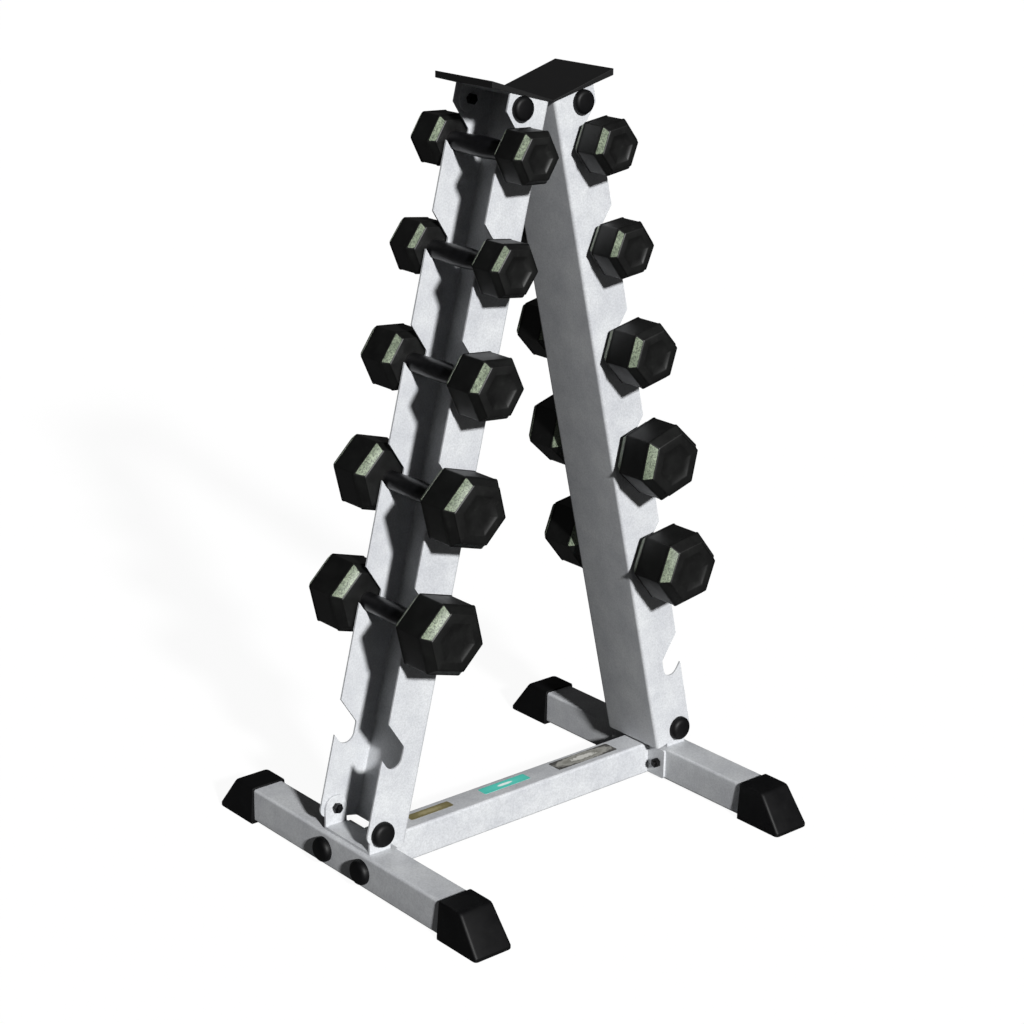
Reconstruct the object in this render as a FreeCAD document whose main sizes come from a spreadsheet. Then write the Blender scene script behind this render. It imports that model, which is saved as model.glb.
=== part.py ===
"""A-frame rack for hex dumbbells, with ten dumbbells resting in its notches.

Frame: millimetres, +Z up, origin on the floor under the middle of the rack.
X runs along the crossbar, Y along the foot tubes and the dumbbells' handles.
The right leg stands at +X, the left leg at -X, and the front is at -Y.

A leg is drawn upright in its own plane: local X is the depth away from its web, local Z runs up
the leg, and the origin is the axis of its bottom bolt.  A dumbbell is drawn with its handle on Y.
"""
import FreeCAD, Part
import os
import Sketcher

doc = FreeCAD.newDocument("DumbbellRack")
V = FreeCAD.Vector

# ---------------------------------------------------------------------------------------------
# Driving dimensions, millimetres and degrees
# ---------------------------------------------------------------------------------------------
SIZES = {
    # the two leaning legs: a channel of bent sheet
    "leg_lean": 13.4,               # from the vertical
    "leg_length": 1015.5,           # along the web, end to end
    "leg_width": 110,               # across the two flanges
    "leg_depth": 69,                # from the web's face to the flanges' edge
    "leg_sheet": 3,
    "leg_bend": 5,                  # outer bend radius
    "leg_corner": 12,               # rounding of the flanges' lower outer corners
    "apex_gap": 8.2,                # between the two webs at their top
    "bolt_depth": 45.5,             # from the web's face to the bolt axes
    "bolt_end": 15,                 # from the bottom bolt to the leg's lower end
    "top_bolt_drop": 16.5,          # from the web's upper end down to the top bolt
    # notches, from the bottom one up
    "first_notch": 107.4,           # seat centre above the bottom bolt
    "pitch_one": 189,
    "pitch_two": 171,
    "pitch_three": 162.7,
    "pitch_four": 153.4,
    "pitch_five": 144.8,
    "seat_play": 2,                 # seat radius more than the handle's radius
    "seat_setback": 19.1,             # from the flanges' edge to the seat's centre
    "lip_angle": 44,                # slope of the lip's inner face
    "leadin_rise": 48,              # from the seat's centre up to the start of the lead-in
    "leadin_drop": 16,              # from the seat's centre up to the foot of the lead-in
    "leadin_round": 6,
    # feet and crossbar
    "foot_length": 480,
    "tube_side": 50,
    "tube_wall": 2,
    "tube_corner": 4,
    "crossbar_width": 45,
    "plate_width": 114,
    "plate_height": 46,
    "plate_sheet": 4,
    "plate_bolt_offset": 43,
    # slip-on boots
    "sole": 3,                      # under the tube
    "boot_overlap": 27,             # over the tube's end
    "boot_top_length": 43,
    "boot_sole_length": 80,
    "boot_top_wall": 3,
    "boot_side_flare": 6,
    "boot_edge": 6,                 # height of the upright edge at the floor
    "boot_round": 5,
    # U brackets
    "ear_width": 36,
    "ear_sheet": 4,
    "ear_rise": 28.5,               # bottom bolt above the foot tube
    # the tray
    "wing_width": 109,              # along the slope
    "wing_angle": 17.5,
    "tray_sheet": 2.5,
    "tray_lip": 9,
    "tray_clearance": 0.5,
    # fasteners
    "bolt_size": 8,
    "bolt_head": 13,                # across flats
    "bolt_head_height": 5.3,
    "nut_height": 6.8,
    "thread_end": 3,                # thread past the nut
    "bolt_hole": 8.4,
    "cap_diameter": 36,
    "cap_height": 12,
    "cap_edge": 8,
    "top_cap_diameter": 28,         # smaller, so that the top dumbbells lift out past them
    "top_cap_height": 7,
    "top_cap_edge": 4,
    "cap_play": 0.4,
    # dumbbells
    "handle_diameter": 26,
    "handle_swell": 4,              # diameter gained at the middle
    "handle_neck": 16,              # straight stretch of the handle beside each head
    "handle_gap": 0.3,              # between a handle and its seat
    "head_clearance": 3.5,          # between a head and the leg's flange
    "tenon_step": 2,                # from the handle's radius in to the tenon's
    "jacket_wall": 4,
}

# Heads from the smallest pair to the largest: across flats, length, bevel along and bevel in.
HEADS = {
    "one": (68, 55, 10, 7),
    "two": (71, 55, 10, 6.5),
    "three": (81, 67, 12, 7.5),
    "four": (95, 73, 14, 9),
    "five": (97, 77, 14, 10),
}
HEAD_VALUES = ("flats", "length", "bevel_along", "bevel_in")

# How far each dumbbell is rolled about its handle, from the top cradle down.
ROLLS = {"left": (32, 36.5, 34.5, 45.5, 46), "right": (21, 23, 17.5, 12.5, 21)}
LEVELS = tuple(HEADS)
NOTCHES = 6

for size, values in HEADS.items():
    for name, value in zip(HEAD_VALUES, values):
        SIZES[f"head_{size}_{name}"] = value
for side, rolls in ROLLS.items():
    for level, roll in zip(LEVELS, rolls):
        SIZES[f"roll_{side}_{level}"] = roll

# Places that follow from the driving dimensions
DERIVED = {
    "tube_top": "=sole + tube_side",
    "bolt_level": "=tube_top + ear_rise",
    "upper_end": "=leg_length - bolt_end",
    "top_bolt": "=upper_end - top_bolt_drop",
    "foot_offset": "=apex_gap / 2 + upper_end * sin(leg_lean) + bolt_depth * cos(leg_lean)",
    "apex_level": "=bolt_level + upper_end * cos(leg_lean) - bolt_depth * sin(leg_lean)",
    "web_face": "=-bolt_depth",
    "flange_edge": "=leg_depth - bolt_depth",
    "seat_depth": "=flange_edge - seat_setback",
    "seat_radius": "=handle_diameter / 2 + seat_play",
    "seat_wall": "=seat_depth - seat_radius",
    "lip_tip": "=(seat_setback - seat_radius * sin(lip_angle)) * tan(lip_angle)"
               " - seat_radius * cos(lip_angle)",
    "seat_corner": "=-seat_radius / tan(45 - lip_angle / 2)",
    "notch_one": "=first_notch",
    "notch_two": "=notch_one + pitch_one",
    "notch_three": "=notch_two + pitch_two",
    "notch_four": "=notch_three + pitch_three",
    "notch_five": "=notch_four + pitch_four",
    "notch_six": "=notch_five + pitch_five",
    "top_slope": "=wing_angle - leg_lean",
    "tray_length": "=leg_width + 2 * (tray_clearance + tray_sheet)",
    "fold_level": "=apex_level - apex_gap / 2 * tan(wing_angle)",
    "ear_face": "=leg_width / 2 - leg_sheet",
    "grip_length": "=leg_width + 2 * head_clearance",
    "handle_middle": "=handle_diameter + handle_swell",
    "tenon_diameter": "=handle_diameter - 2 * tenon_step",
    "plate_face": "=foot_offset - tube_side / 2",
}


def make_sheet():
    """The spreadsheet: driving dimensions as plain numbers, then the places worked out from them."""
    sheet = doc.addObject("Spreadsheet::Sheet", "Sizes")
    for row, (name, value) in enumerate({**SIZES, **DERIVED}.items(), start=1):
        sheet.set(f"A{row}", name)
        sheet.set(f"B{row}", str(value))
        sheet.setAlias(f"B{row}", name)
    doc.recompute()
    return sheet


sheet = make_sheet()


def cell(expression):
    """The expression with each size's name pointed at the spreadsheet."""
    words = ""
    word = ""
    for letter in expression + " ":
        if letter.isalnum() or letter in "_.":
            word += letter
            continue
        words += f"Sizes.{word}" if word in SIZES or word in DERIVED else word
        words += letter
        word = ""
    return words.strip()


def value(expression):
    """The expression's present value."""
    result = sheet.evalExpression(cell(str(expression)))
    return float(getattr(result, "Value", result))


def bind(item, **properties):
    """Binds properties of an object to expressions."""
    for name, expression in properties.items():
        item.setExpression(name, cell(str(expression)))
    return item


def place(item, *steps):
    """Places an object by turning and moving steps, the first one outermost.

    A step is (x, y, z) or (x, y, z, axis, degrees), each an expression.
    """
    parts = []
    for step in steps:
        x, y, z = step[:3]
        axis, angle = step[3:] if len(step) == 5 else ("0; 0; 1", "0")
        parts.append(f"placement(vector({x}; {y}; {z}); rotation(vector({axis}); {angle}))")
    item.setExpression("Placement", cell(" * ".join(parts)))
    return item


# ---------------------------------------------------------------------------------------------
# Sketch helpers
# ---------------------------------------------------------------------------------------------
def make_body(name):
    return doc.addObject("PartDesign::Body", name)


def make_sketch(body, name, plane, shift="0"):
    """A sketch on one of the body's own origin planes, moved along the plane's normal."""
    sketch = body.newObject("Sketcher::SketchObject", name)
    support = [item for item in body.Origin.OriginFeatures if item.Role == plane][0]
    sketch.AttachmentSupport = [(support, "")]
    sketch.MapMode = "FlatFace"
    sketch.setExpression("AttachmentOffset.Base.z", cell(shift))
    return sketch


def name_constraint(sketch, constraint, name, expression):
    index = sketch.addConstraint(constraint)
    sketch.renameConstraint(index, name)
    sketch.setExpression(f"Constraints.{name}", cell(expression))


def outline(sketch, corners, tag="p"):
    """A closed outline.  A corner is (x, y) or (x, y, radius), each an expression.

    Each corner is a construction point whose place is bound to the sheet.  A sharp corner joins two
    sides; a rounded one joins them by an arc that is tangent to both.
    """
    points = [V(value(c[0]), value(c[1]), 0) for c in corners]
    count = len(corners)
    starts, ends, arcs = [], [], []
    for index, corner in enumerate(corners):
        here, before, after = points[index], points[index - 1], points[(index + 1) % count]
        if len(corner) == 2:
            ends.append(here)
            starts.append(here)
            arcs.append(None)
            continue
        radius = value(corner[2])
        back = (before - here).normalize()
        ahead = (after - here).normalize()
        bisector = (back + ahead).normalize()
        sine = bisector.cross(ahead).Length
        centre = here + bisector * (radius / sine)
        reach = (centre - here).dot(ahead)
        ends.append(here + back * reach)
        starts.append(here + ahead * reach)
        middle = centre - bisector * radius
        arcs.append(Part.Arc(ends[-1], middle, starts[-1]))
    sides = [sketch.addGeometry(Part.LineSegment(starts[i], ends[(i + 1) % count]), False)
             for i in range(count)]
    for index, corner in enumerate(corners):
        spot = sketch.addGeometry(Part.Point(points[index]), True)
        name_constraint(sketch, Sketcher.Constraint("DistanceX", -1, 1, spot, 1, points[index].x),
                        f"{tag}{index}_x", corner[0])
        name_constraint(sketch, Sketcher.Constraint("DistanceY", -1, 1, spot, 1, points[index].y),
                        f"{tag}{index}_y", corner[1])
        side_in, side_out = sides[index - 1], sides[index]
        if arcs[index] is None:
            sketch.addConstraint(Sketcher.Constraint("Coincident", side_in, 2, spot, 1))
            sketch.addConstraint(Sketcher.Constraint("Coincident", side_out, 1, spot, 1))
            continue
        arc = sketch.addGeometry(arcs[index], False)
        turned = sketch.getPoint(arc, 1).distanceToPoint(ends[index]) > 1e-6
        first, last = (2, 1) if turned else (1, 2)
        sketch.addConstraint(Sketcher.Constraint("Tangent", side_in, 2, arc, first))
        sketch.addConstraint(Sketcher.Constraint("Tangent", side_out, 1, arc, last))
        sketch.addConstraint(Sketcher.Constraint("PointOnObject", spot, 1, side_in))
        sketch.addConstraint(Sketcher.Constraint("PointOnObject", spot, 1, side_out))
        name_constraint(sketch, Sketcher.Constraint("Radius", arc, value(corner[2])),
                        f"{tag}{index}_r", corner[2])


def circle(sketch, x, y, radius, tag="c"):
    """A circle with its centre and radius bound to the sheet."""
    index = sketch.addGeometry(Part.Circle(V(value(x), value(y), 0), V(0, 0, 1), value(radius)), False)
    name_constraint(sketch, Sketcher.Constraint("DistanceX", -1, 1, index, 3, value(x)), f"{tag}_x", x)
    name_constraint(sketch, Sketcher.Constraint("DistanceY", -1, 1, index, 3, value(y)), f"{tag}_y", y)
    name_constraint(sketch, Sketcher.Constraint("Radius", index, value(radius)), f"{tag}_r", radius)


# ---------------------------------------------------------------------------------------------
# Feature helpers
# ---------------------------------------------------------------------------------------------
def add_pad(body, sketch, length, symmetric=True, back=False):
    """Material grown from a sketch, by default to both sides of its plane."""
    pad = body.newObject("PartDesign::Pad", f"{sketch.Name}_pad")
    pad.Profile = sketch
    pad.Midplane = symmetric
    pad.Reversed = back
    return bind(pad, Length=length)


def add_pocket(body, sketch, length, symmetric=True, back=False):
    """Material cut along a sketch's normal.  Raises if nothing was cut."""
    doc.recompute()
    before = body.Shape.Volume
    pocket = body.newObject("PartDesign::Pocket", f"{sketch.Name}_cut")
    pocket.Profile = sketch
    pocket.Midplane = symmetric
    pocket.Reversed = back
    bind(pocket, Length=length)
    doc.recompute()
    if body.Shape.Volume > before - 0.01:
        raise RuntimeError(f"{pocket.Name} cuts nothing")
    return pocket


def add_fillet(body, radius, wanted):
    """Rounds the edges of the body's present solid that the test picks."""
    doc.recompute()
    names = [f"Edge{number}" for number, edge in enumerate(body.Shape.Edges, start=1) if wanted(edge)]
    base = body.Tip
    fillet = body.newObject("PartDesign::Fillet", f"{body.Name}_fillet_{len(body.Group)}")
    fillet.Base = (base, names)
    bind(fillet, Radius=radius)
    doc.recompute()
    return fillet


def along(edge, axis):
    """True for a straight edge that runs along an axis."""
    if not isinstance(edge.Curve, Part.Line):
        return False
    return abs(abs(edge.tangentAt(edge.FirstParameter).dot(axis)) - 1) < 1e-6


def near(number, expression):
    return abs(number - value(expression)) < 1e-3


def group(name, items):
    """Several separate solids that share one node."""
    joined = doc.addObject("Part::Compound", name)
    joined.Links = items
    return joined


def cylinder(name, diameter, height):
    return bind(doc.addObject("Part::Cylinder", name), Radius=f"({diameter}) / 2", Height=height)


def hexagon_prism(name, flats, height):
    """A hexagonal prism on local Z."""
    prism = doc.addObject("Part::Prism", name)
    prism.Polygon = 6
    return bind(prism, Circumradius=f"({flats}) / sqrt(3)", Height=height)


def combine(kind, name, items):
    """A boolean: Part::MultiFuse of all the items, or Part::Cut of the first by the second."""
    result = doc.addObject(kind, name)
    if kind == "Part::Cut":
        result.Base, result.Tool = items
    else:
        result.Shapes = items
    return result


# ---------------------------------------------------------------------------------------------
# Places of the assemblies
# ---------------------------------------------------------------------------------------------
HALF_TURN = {"right": "0", "left": "180"}       # the left side is the right side turned about Z
FOOT_POINT = {
    "right": ("0", "0", "0", "0; 0; 1", "0"),
    "left": ("0", "0", "0", "0; 0; 1", "180"),
}
LEG_STEP = ("foot_offset", "0", "bolt_level", "0; 1; 0", "-leg_lean")
nodes = {}


def keep(name, item, *steps):
    """Files an object as a node, with its label and its place."""
    item.Label = name
    if steps:
        place(item, *steps)
    nodes[name] = item
    return item


# ---------------------------------------------------------------------------------------------
# Legs
# ---------------------------------------------------------------------------------------------
def make_leg(side):
    """A leaning channel: web towards the rack's middle, flanges outwards with six notches each."""
    body = make_body(f"{side}_leg_channel")
    blank = make_sketch(body, f"{side}_leg_blank", "XZ_Plane")
    outline(blank, [
        ("web_face", "-bolt_end"),
        ("web_face", "upper_end"),
        ("flange_edge", "upper_end + leg_depth * tan(top_slope)"),
        ("flange_edge", "-bolt_end", "leg_corner"),
    ])
    add_pad(body, blank, "leg_width")
    add_fillet(body, "leg_bend", lambda edge: along(edge, V(0, 0, 1))
               and near(edge.Vertexes[0].X, "web_face"))
    hollow = make_sketch(body, f"{side}_leg_hollow", "XZ_Plane")
    outline(hollow, [
        ("web_face + leg_sheet", "-2 * bolt_end"),
        ("web_face + leg_sheet", "upper_end + leg_depth"),
        ("2 * leg_depth", "upper_end + leg_depth"),
        ("2 * leg_depth", "-2 * bolt_end"),
    ])
    add_pocket(body, hollow, "leg_width - 2 * leg_sheet")
    add_fillet(body, "leg_bend - leg_sheet", lambda edge: along(edge, V(0, 0, 1))
               and near(edge.Vertexes[0].X, "web_face + leg_sheet"))
    for number in ("one", "two", "three", "four", "five", "six"):
        cut = make_sketch(body, f"{side}_leg_notch_{number}", "XZ_Plane")
        outline(cut, [
            ("flange_edge", f"notch_{number} + lip_tip"),
            ("2 * leg_depth", f"notch_{number} + lip_tip"),
            ("2 * leg_depth", f"notch_{number} + leadin_rise"),
            ("flange_edge", f"notch_{number} + leadin_rise"),
            ("seat_wall", f"notch_{number} + leadin_drop", "leadin_round"),
            ("seat_wall", f"notch_{number} + seat_corner", "seat_radius"),
        ])
        add_pocket(body, cut, "2 * leg_width")
    holes = make_sketch(body, f"{side}_leg_holes", "XZ_Plane")
    circle(holes, "0", "0", "bolt_hole / 2", "low")
    circle(holes, "0", "top_bolt", "bolt_hole / 2", "high")
    add_pocket(body, holes, "2 * leg_width")
    keep(f"{side}_leg_channel", body, FOOT_POINT[side], LEG_STEP)


# ---------------------------------------------------------------------------------------------
# Feet and crossbar
# ---------------------------------------------------------------------------------------------
def square_tube(body, name, plane, wide, high, length):
    """A rectangular tube with rounded corners, grown to both sides of a plane."""
    section = make_sketch(body, name, plane)
    for tag, inset, corner in (("o", "0", "tube_corner"), ("i", "tube_wall", "tube_corner - tube_wall")):
        half_wide = f"({wide}) / 2 - {inset}"
        half_high = f"({high}) / 2 - {inset}"
        outline(section, [
            (f"-({half_wide})", f"-({half_high})", corner),
            (half_wide, f"-({half_high})", corner),
            (half_wide, half_high, corner),
            (f"-({half_wide})", half_high, corner),
        ], tag)
    add_pad(body, section, length)


def make_foot_tube(side):
    """A foot tube along Y, drilled across for the two crossbar bolts."""
    body = make_body(f"{side}_foot_tube")
    square_tube(body, f"{side}_foot_section", "XZ_Plane", "tube_side", "tube_side", "foot_length")
    holes = make_sketch(body, f"{side}_foot_holes", "YZ_Plane")
    circle(holes, "-plate_bolt_offset", "0", "bolt_hole / 2", "front")
    circle(holes, "plate_bolt_offset", "0", "bolt_hole / 2", "rear")
    add_pocket(body, holes, "2 * tube_side")
    keep(f"{side}_foot_tube", body, FOOT_POINT[side], ("foot_offset", "0", "sole + tube_side / 2"))


def make_crossbar():
    """The bar between the feet, with its two end plates."""
    body = make_body("crossbar_tube")
    square_tube(body, "crossbar_section", "YZ_Plane", "crossbar_width", "tube_side",
                "2 * (plate_face - plate_sheet)")
    keep("crossbar_tube", body, ("0", "0", "sole + tube_side / 2"))
    for side in ("left", "right"):
        plate = make_body(f"{side}_crossbar_plate")
        face = make_sketch(plate, f"{side}_plate_face", "YZ_Plane")
        half_wide, half_high = "plate_width / 2", "plate_height / 2"
        outline(face, [
            (f"-{half_wide}", f"-{half_high}", "tube_corner"),
            (half_wide, f"-{half_high}", "tube_corner"),
            (half_wide, half_high, "tube_corner"),
            (f"-{half_wide}", half_high, "tube_corner"),
        ])
        circle(face, "-plate_bolt_offset", "0", "bolt_hole / 2", "front")
        circle(face, "plate_bolt_offset", "0", "bolt_hole / 2", "rear")
        add_pad(plate, face, "plate_sheet", symmetric=False, back=True)
        keep(f"{side}_crossbar_plate", plate, FOOT_POINT[side],
             ("plate_face", "0", "sole + tube_side / 2"))


def make_boot(side, end):
    """A slip-on plastic boot: upright at the floor, then sloping in to a smaller top.

    Local Y points outwards along the tube from the boot's mouth, and Z is up from the floor.
    """
    name = f"{side}_{end}_foot_boot"
    body = make_body(name)
    base_half = "tube_side / 2 + boot_side_flare"
    top_half = "tube_side / 2 + boot_top_wall"
    top = "tube_top + boot_top_wall"

    def section(tag, half, length, level):
        sketch = make_sketch(body, f"{name}_{tag}", "XY_Plane", level)
        outline(sketch, [
            (f"-({half})", "0"),
            (half, "0"),
            (half, length, "boot_round"),
            (f"-({half})", length, "boot_round"),
        ])
        return sketch

    add_pad(body, section("sole", base_half, "boot_sole_length", "0"), "boot_edge", symmetric=False)
    loft = body.newObject("PartDesign::AdditiveLoft", f"{name}_loft")
    loft.Profile = section("skirt", base_half, "boot_sole_length", "boot_edge")
    loft.Sections = [section("top", top_half, "boot_top_length", top)]
    loft.Ruled = True
    doc.recompute()
    add_fillet(body, "boot_top_wall", lambda edge: near(edge.BoundBox.ZMin, top)
               and edge.BoundBox.YMax > 1)
    socket = make_sketch(body, f"{name}_socket", "XZ_Plane")
    outline(socket, [
        ("-tube_side / 2", "sole", "tube_corner"),
        ("tube_side / 2", "sole", "tube_corner"),
        ("tube_side / 2", "tube_top", "tube_corner"),
        ("-tube_side / 2", "tube_top", "tube_corner"),
    ])
    add_pocket(body, socket, "2 * boot_overlap")
    turn = {"front": "180", "rear": "0"}[end]
    keep(name, body, FOOT_POINT[side], ("foot_offset", "0", "0", "0; 0; 1", turn),
         ("0", "foot_length / 2 - boot_overlap", "0"))


# ---------------------------------------------------------------------------------------------
# U brackets
# ---------------------------------------------------------------------------------------------
def u_bracket(name, seat, inner):
    """A bracket with two ears, each rounded about the bolt at the local origin.

    seat is the outline from the bolt's level to the face that the bracket is welded to, and inner
    is the outline of the gap between the ears, which leaves the base.
    """
    body = make_body(name)
    width = "2 * ear_face"
    ears = make_sketch(body, f"{name}_ears", "XZ_Plane")
    outline(ears, seat)
    add_pad(body, ears, width)
    crown = make_sketch(body, f"{name}_crown", "XZ_Plane")
    circle(crown, "0", "0", "ear_width / 2")
    add_pad(body, crown, width)
    gap = make_sketch(body, f"{name}_gap", "XZ_Plane")
    outline(gap, inner)
    add_pocket(body, gap, "2 * (ear_face - ear_sheet)")
    hole = make_sketch(body, f"{name}_hole", "XZ_Plane")
    circle(hole, "0", "0", "bolt_hole / 2")
    add_pocket(body, hole, "2 * leg_width")
    return body


def make_foot_bracket(side):
    """The bracket welded on a foot tube, with upright ears."""
    half = "ear_width / 2"
    name = f"{side}_foot_bracket"
    body = u_bracket(name, [
        (f"-{half}", "-ear_rise"), (half, "-ear_rise"), (half, "0"), (f"-{half}", "0"),
    ], [
        ("-ear_width", "ear_sheet - ear_rise"), ("ear_width", "ear_sheet - ear_rise"),
        ("ear_width", "ear_width"), ("-ear_width", "ear_width"),
    ])
    keep(name, body, FOOT_POINT[side], ("foot_offset", "0", "bolt_level"))


def make_top_bracket(side):
    """The bracket welded under a tray wing, with ears that hang inside the leg's top."""
    half = "ear_width / 2"
    name = f"{side}_top_bracket"

    def wing(depth, below="0"):
        return f"top_bolt_drop + ({depth} + bolt_depth) * tan(top_slope) - {below}"

    body = u_bracket(name, [
        (f"-{half}", "0"), (half, "0"), (half, wing(half)), (f"-{half}", wing(f"-{half}")),
    ], [
        ("-ear_width", "-ear_width"), ("ear_width", "-ear_width"),
        ("ear_width", wing("ear_width", "ear_sheet")), ("-ear_width", wing("-ear_width", "ear_sheet")),
    ])
    keep(name, body, FOOT_POINT[side], LEG_STEP, ("0", "0", "top_bolt"))


# ---------------------------------------------------------------------------------------------
# Tray
# ---------------------------------------------------------------------------------------------
def make_tray():
    """The V tray: one folded sheet with turned-down edges, deepest at the wings' outer corners."""
    body = make_body("top_tray")
    reach = "wing_width * cos(wing_angle)"
    rise = "wing_width * sin(wing_angle)"
    thick = "tray_sheet / cos(wing_angle)"
    profile = make_sketch(body, "tray_profile", "XZ_Plane")
    outline(profile, [
        ("0", thick),
        (f"-({reach})", f"{rise} + {thick}"),
        (f"-({reach})", f"{rise} + {thick} - tray_lip"),
        ("0", "0"),
        (reach, f"{rise} + {thick} - tray_lip"),
        (reach, f"{rise} + {thick}"),
    ])
    add_pad(body, profile, "tray_length")
    under = make_sketch(body, "tray_under", "XZ_Plane")
    inner = f"({reach} - tray_sheet)"
    outline(under, [
        ("0", "0"),
        (f"-{inner}", f"{inner} * tan(wing_angle)"),
        (f"-{inner}", "-tray_lip"),
        (inner, "-tray_lip"),
        (inner, f"{inner} * tan(wing_angle)"),
    ])
    add_pocket(body, under, "tray_length - 2 * tray_sheet")
    keep("top_tray", body, ("0", "0", "fold_level"))


# ---------------------------------------------------------------------------------------------
# Fasteners.  Each is drawn on local Z, with the clamped face at the origin and its outside at +Z.
# ---------------------------------------------------------------------------------------------
def make_bolt(name, grip):
    """A hex bolt: head above the face, shank through the grip, the nut and a little more."""
    head = hexagon_prism(f"{name}_head", "bolt_head", "bolt_head_height")
    shank = cylinder(f"{name}_shank", "bolt_size", f"{grip} + nut_height + thread_end")
    place(shank, ("0", "0", f"-({grip} + nut_height + thread_end)"))
    return combine("Part::MultiFuse", name, [head, shank])


def make_nut(name, grip):
    blank = hexagon_prism(f"{name}_blank", "bolt_head", "nut_height")
    bore = cylinder(f"{name}_bore", "bolt_size", "nut_height")
    nut = combine("Part::Cut", name, [blank, bore])
    return nut, ("0", "0", f"-({grip} + nut_height)")


def make_cap(name, kind):
    """A round push-on cap with a rounded rim, hollow over the bolt's head.

    kind is "cap" or "top_cap", the start of the names of its sizes.
    """
    body = make_body(name)
    half = make_sketch(body, f"{name}_half", "XZ_Plane")
    recess = "bolt_head / sqrt(3) + cap_play"
    outline(half, [
        (recess, "0"),
        (f"{kind}_diameter / 2", "0"),
        (f"{kind}_diameter / 2", f"{kind}_height", f"{kind}_edge"),
        ("0", f"{kind}_height"),
        ("0", "bolt_head_height + cap_play"),
        (recess, "bolt_head_height + cap_play"),
    ])
    turned = body.newObject("PartDesign::Revolution", f"{name}_turned")
    turned.Profile = half
    turned.ReferenceAxis = (half, ["V_Axis"])
    turned.Angle = 360
    return body


def fasten(side, label, spots, grip):
    """The bolts, nuts and caps of one joint, each kind in one node.

    spots holds, for each bolt, the steps from the side's own place to the face that it clamps, and
    its kind of cap.
    """
    bolts, nuts, caps = [], [], []
    for number, (steps, kind) in enumerate(spots, start=1):
        stem = f"{side}_{label}_{number}"
        bolts.append(place(make_bolt(f"{stem}_bolt", grip), *steps))
        nut, depth = make_nut(f"{stem}_nut", grip)
        nuts.append(place(nut, *steps, depth))
        caps.append(place(make_cap(f"{stem}_cap", kind), *steps))
    for part, items in (("bolts", bolts), ("nuts", nuts), ("bolt_caps", caps)):
        keep(f"{side}_{label}_{part}", group(f"{side}_{label}_{part}_group", items), FOOT_POINT[side])


def make_fasteners(side):
    """Four bolts through the leg's flanges and ears, two through the foot tube and end plate."""
    leg_spots = []
    for level, kind in (("0", "cap"), ("top_bolt", "top_cap")):
        for face, tilt in (("-leg_width / 2", "90"), ("leg_width / 2", "-90")):
            leg_spots.append(((LEG_STEP, ("0", face, level, "1; 0; 0", tilt)), kind))
    fasten(side, "leg", leg_spots, "leg_sheet + ear_sheet")
    foot_spots = []
    for offset in ("-plate_bolt_offset", "plate_bolt_offset"):
        steps = (("foot_offset + tube_side / 2", offset, "sole + tube_side / 2", "0; 1; 0", "90"),)
        foot_spots.append((steps, "cap"))
    fasten(side, "crossbar", foot_spots, "tube_side + plate_sheet")


# ---------------------------------------------------------------------------------------------
# Dumbbells.  Each is drawn with its handle on local Y and a flat of its heads facing -X.
# ---------------------------------------------------------------------------------------------
FACE_REAR = ("1; 0; 0", "-90")          # turns local Z to local Y


def along_handle(distance):
    """Steps that put a hexagon drawn on Z onto the handle, with one of its flats facing -X."""
    return ("0", distance, "0", *FACE_REAR), ("0", "0", "0", "0; 0; 1", "30")


def bevelled_hexagon(name, level):
    """One rubber head's outer shape: a hexagonal prism with both rims bevelled."""
    flats, length = f"head_{level}_flats", f"head_{level}_length"
    bevel, inset = f"head_{level}_bevel_along", f"head_{level}_bevel_in"
    sections = []
    for number, (distance, across) in enumerate((
            ("0", f"{flats} - 2 * {inset}"), (bevel, flats),
            (f"{length} - {bevel}", flats), (length, f"{flats} - 2 * {inset}"))):
        polygon = doc.addObject("Part::RegularPolygon", f"{name}_section_{number}")
        polygon.Polygon = 6
        bind(polygon, Circumradius=f"({across}) / sqrt(3)")
        sections.append(place(polygon, *along_handle(f"grip_length / 2 + {distance}")))
    loft = doc.addObject("Part::Loft", name)
    loft.Sections = sections
    loft.Solid = True
    loft.Ruled = True
    return loft


def core_blank(name, level):
    """The iron core's outer shape: the head's hexagon less the rubber's thickness all round."""
    core = hexagon_prism(name, f"head_{level}_flats - 2 * head_{level}_bevel_in",
                         f"head_{level}_length - 2 * jacket_wall")
    return place(core, *along_handle("grip_length / 2 + jacket_wall"))


def tenon(name, length):
    """The end of the handle that is pressed into a head."""
    return place(cylinder(name, "tenon_diameter", length), *along_handle("grip_length / 2"))


def both_ends(name, rear):
    """A head's piece and its mirror image at the other end of the handle."""
    front = doc.addObject("Part::Mirroring", f"{name}_front")
    front.Source = rear
    front.Normal = V(0, 1, 0)
    return group(f"{name}_pair", [rear, front])


def make_handle(name, level):
    """A turned steel handle: straight beside the heads, swelling to the middle, a tenon each end."""
    body = make_body(name)
    half = make_sketch(body, f"{name}_half", "XY_Plane")
    grip = "grip_length / 2"
    far_end = f"{grip} + head_{level}_length - jacket_wall"
    neck = f"{grip} - handle_neck"
    outline(half, [
        ("0", f"-({far_end})"),
        ("tenon_diameter / 2", f"-({far_end})"),
        ("tenon_diameter / 2", f"-{grip}"),
        ("handle_diameter / 2", f"-{grip}"),
        ("handle_diameter / 2", f"-({neck})"),
        ("handle_middle / 2", "0", "4 * grip_length"),
        ("handle_diameter / 2", neck),
        ("handle_diameter / 2", grip),
        ("tenon_diameter / 2", grip),
        ("tenon_diameter / 2", far_end),
        ("0", far_end),
    ])
    turned = body.newObject("PartDesign::Revolution", f"{name}_turned")
    turned.Profile = half
    turned.ReferenceAxis = (half, ["V_Axis"])
    turned.Angle = 360
    return body


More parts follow.
